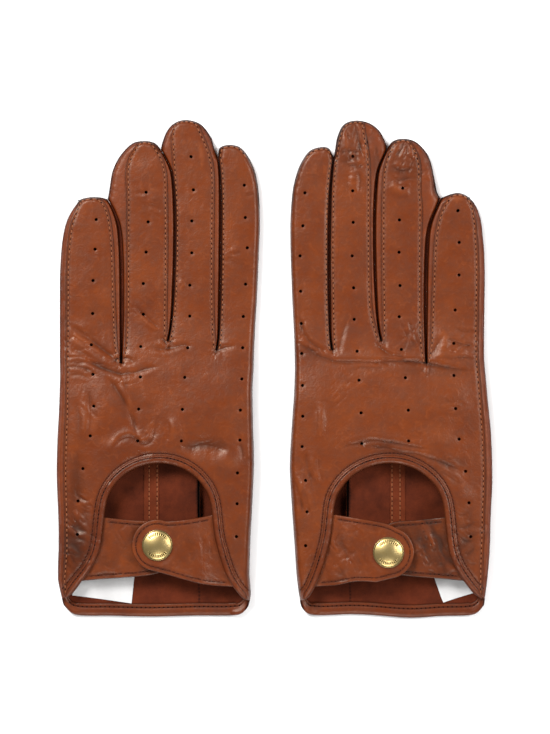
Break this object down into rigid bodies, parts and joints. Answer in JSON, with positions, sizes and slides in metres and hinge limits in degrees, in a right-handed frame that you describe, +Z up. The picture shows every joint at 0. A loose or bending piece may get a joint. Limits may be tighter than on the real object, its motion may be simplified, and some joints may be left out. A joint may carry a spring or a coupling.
{
  "type": "pair of leather driving gloves",
  "caption": "Pair of leather driving gloves lying flat, backs up, with perforated fingers and an arched wrist opening closed by a snap strap.",
  "frame": {"origin": "on the surface under the pair, midway between the two gloves and midway between the longest fingertips and the cuffs", "axes": "+X from the left-hand glove to the right-hand glove, +Y towards the fingertips, +Z up through the backs of the hands"},
  "size_m": [0.216, 0.245, 0.0156],
  "materials": {
    "cognac_leather": "smooth cognac-brown nappa leather with a soft shine and fine grain",
    "binding_leather": "the same leather, unlined and a little darker",
    "suede_inside": "dark matt flesh side of the leather",
    "satin_label": "white woven satin, blank",
    "antique_brass": "antique brass, brushed, darker at the rim"
  },
  "bodies": {
    "right_hand": {"right_back_panel": "cognac_leather", "right_palm_thumb_side": "suede_inside", "right_palm_little_side": "suede_inside", "right_opening_binding": "binding_leather", "right_cuff_hem": "binding_leather", "right_label": "satin_label"},
    "right_thumb": {"right_thumb_outer": "cognac_leather", "right_thumb_inner": "cognac_leather"},
    "right_index": {"right_index_back": "cognac_leather", "right_index_palm": "cognac_leather", "right_index_fourchette": "cognac_leather"},
    "right_middle": {"right_middle_back": "cognac_leather", "right_middle_palm": "cognac_leather", "right_middle_index_side_fourchette": "cognac_leather", "right_middle_ring_side_fourchette": "cognac_leather"},
    "right_ring": {"right_ring_back": "cognac_leather", "right_ring_palm": "cognac_leather", "right_ring_middle_side_fourchette": "cognac_leather", "right_ring_little_side_fourchette": "cognac_leather"},
    "right_little": {"right_little_back": "cognac_leather", "right_little_palm": "cognac_leather", "right_little_fourchette": "cognac_leather"},
    "right_strap": {"right_snap_strap": "cognac_leather", "right_snap_cap": "antique_brass", "right_snap_socket": "antique_brass"},
    "right_tab": {"right_strap_tab": "binding_leather", "right_snap_stud": "antique_brass", "right_snap_post": "antique_brass"},
    "left_hand": {"left_back_panel": "cognac_leather", "left_palm_thumb_side": "suede_inside", "left_palm_little_side": "suede_inside", "left_opening_binding": "binding_leather", "left_cuff_hem": "binding_leather", "left_label": "satin_label"},
    "left_thumb": {"left_thumb_outer": "cognac_leather", "left_thumb_inner": "cognac_leather"},
    "left_index": {"left_index_back": "cognac_leather", "left_index_palm": "cognac_leather", "left_index_fourchette": "cognac_leather"},
    "left_middle": {"left_middle_back": "cognac_leather", "left_middle_palm": "cognac_leather", "left_middle_index_side_fourchette": "cognac_leather", "left_middle_ring_side_fourchette": "cognac_leather"},
    "left_ring": {"left_ring_back": "cognac_leather", "left_ring_palm": "cognac_leather", "left_ring_middle_side_fourchette": "cognac_leather", "left_ring_little_side_fourchette": "cognac_leather"},
    "left_little": {"left_little_back": "cognac_leather", "left_little_palm": "cognac_leather", "left_little_fourchette": "cognac_leather"},
    "left_strap": {"left_snap_strap": "cognac_leather", "left_snap_cap": "antique_brass", "left_snap_socket": "antique_brass"},
    "left_tab": {"left_strap_tab": "binding_leather", "left_snap_stud": "antique_brass", "left_snap_post": "antique_brass"}
  },
  "joints": [
    {"name": "right_index_curl", "type": "hinge", "parent": "right_hand", "child": "right_index", "pos_m": [0.019, 0.002, 0], "axis": [-1, 0, 0], "range_deg": [0, 90]},
    {"name": "right_middle_curl", "type": "hinge", "parent": "right_hand", "child": "right_middle", "pos_m": [0.041, 0.002, 0], "axis": [-1, 0, 0], "range_deg": [0, 90]},
    {"name": "right_ring_curl", "type": "hinge", "parent": "right_hand", "child": "right_ring", "pos_m": [0.064, 0.002, 0], "axis": [-1, 0, 0], "range_deg": [0, 90]},
    {"name": "right_little_curl", "type": "hinge", "parent": "right_hand", "child": "right_little", "pos_m": [0.09, 0.002, 0], "axis": [-1, 0, 0], "range_deg": [0, 90]},
    {"name": "right_thumb_swing", "type": "hinge", "parent": "right_hand", "child": "right_thumb", "pos_m": [0.0086, -0.04, 0.00465], "axis": [0, 1, 0], "range_deg": [0, 90]},
    {"name": "right_strap_open", "type": "hinge", "parent": "right_hand", "child": "right_strap", "pos_m": [0.0259, -0.0905, 0.0144], "axis": [-0.2466, -0.9691, 0], "range_deg": [0, 150]},
    {"name": "right_tab_lift", "type": "hinge", "parent": "right_hand", "child": "right_tab", "pos_m": [0.0886, -0.0892, 0.01], "axis": [-0.2968, 0.9549, 0], "range_deg": [0, 22.5]},
    {"name": "left_index_curl", "type": "hinge", "parent": "left_hand", "child": "left_index", "pos_m": [-0.019, 0.002, 0], "axis": [-1, 0, 0], "range_deg": [0, 90]},
    {"name": "left_middle_curl", "type": "hinge", "parent": "left_hand", "child": "left_middle", "pos_m": [-0.041, 0.002, 0], "axis": [-1, 0, 0], "range_deg": [0, 90]},
    {"name": "left_ring_curl", "type": "hinge", "parent": "left_hand", "child": "left_ring", "pos_m": [-0.064, 0.002, 0], "axis": [-1, 0, 0], "range_deg": [0, 90]},
    {"name": "left_little_curl", "type": "hinge", "parent": "left_hand", "child": "left_little", "pos_m": [-0.09, 0.002, 0], "axis": [-1, 0, 0], "range_deg": [0, 90]},
    {"name": "left_thumb_swing", "type": "hinge", "parent": "left_hand", "child": "left_thumb", "pos_m": [-0.0086, -0.04, 0.00465], "axis": [0, -1, 0], "range_deg": [0, 90]},
    {"name": "left_strap_open", "type": "hinge", "parent": "left_hand", "child": "left_strap", "pos_m": [-0.0259, -0.0905, 0.0144], "axis": [-0.2466, 0.9691, 0], "range_deg": [0, 150]},
    {"name": "left_tab_lift", "type": "hinge", "parent": "left_hand", "child": "left_tab", "pos_m": [-0.0886, -0.0892, 0.01], "axis": [-0.2968, -0.9549, 0], "range_deg": [0, 22.5]},
    {"name": "left_glove_slide", "type": "slide", "parent": "right_hand", "child": "left_hand", "axis": [-1, 0, 0], "range_m": [0, 0.12]}
  ],
  "couplings": [
    {"joint": "right_tab_lift", "follows": "right_strap_open", "ratio": 0.15},
    {"joint": "left_tab_lift", "follows": "left_strap_open", "ratio": 0.15}
  ]
}
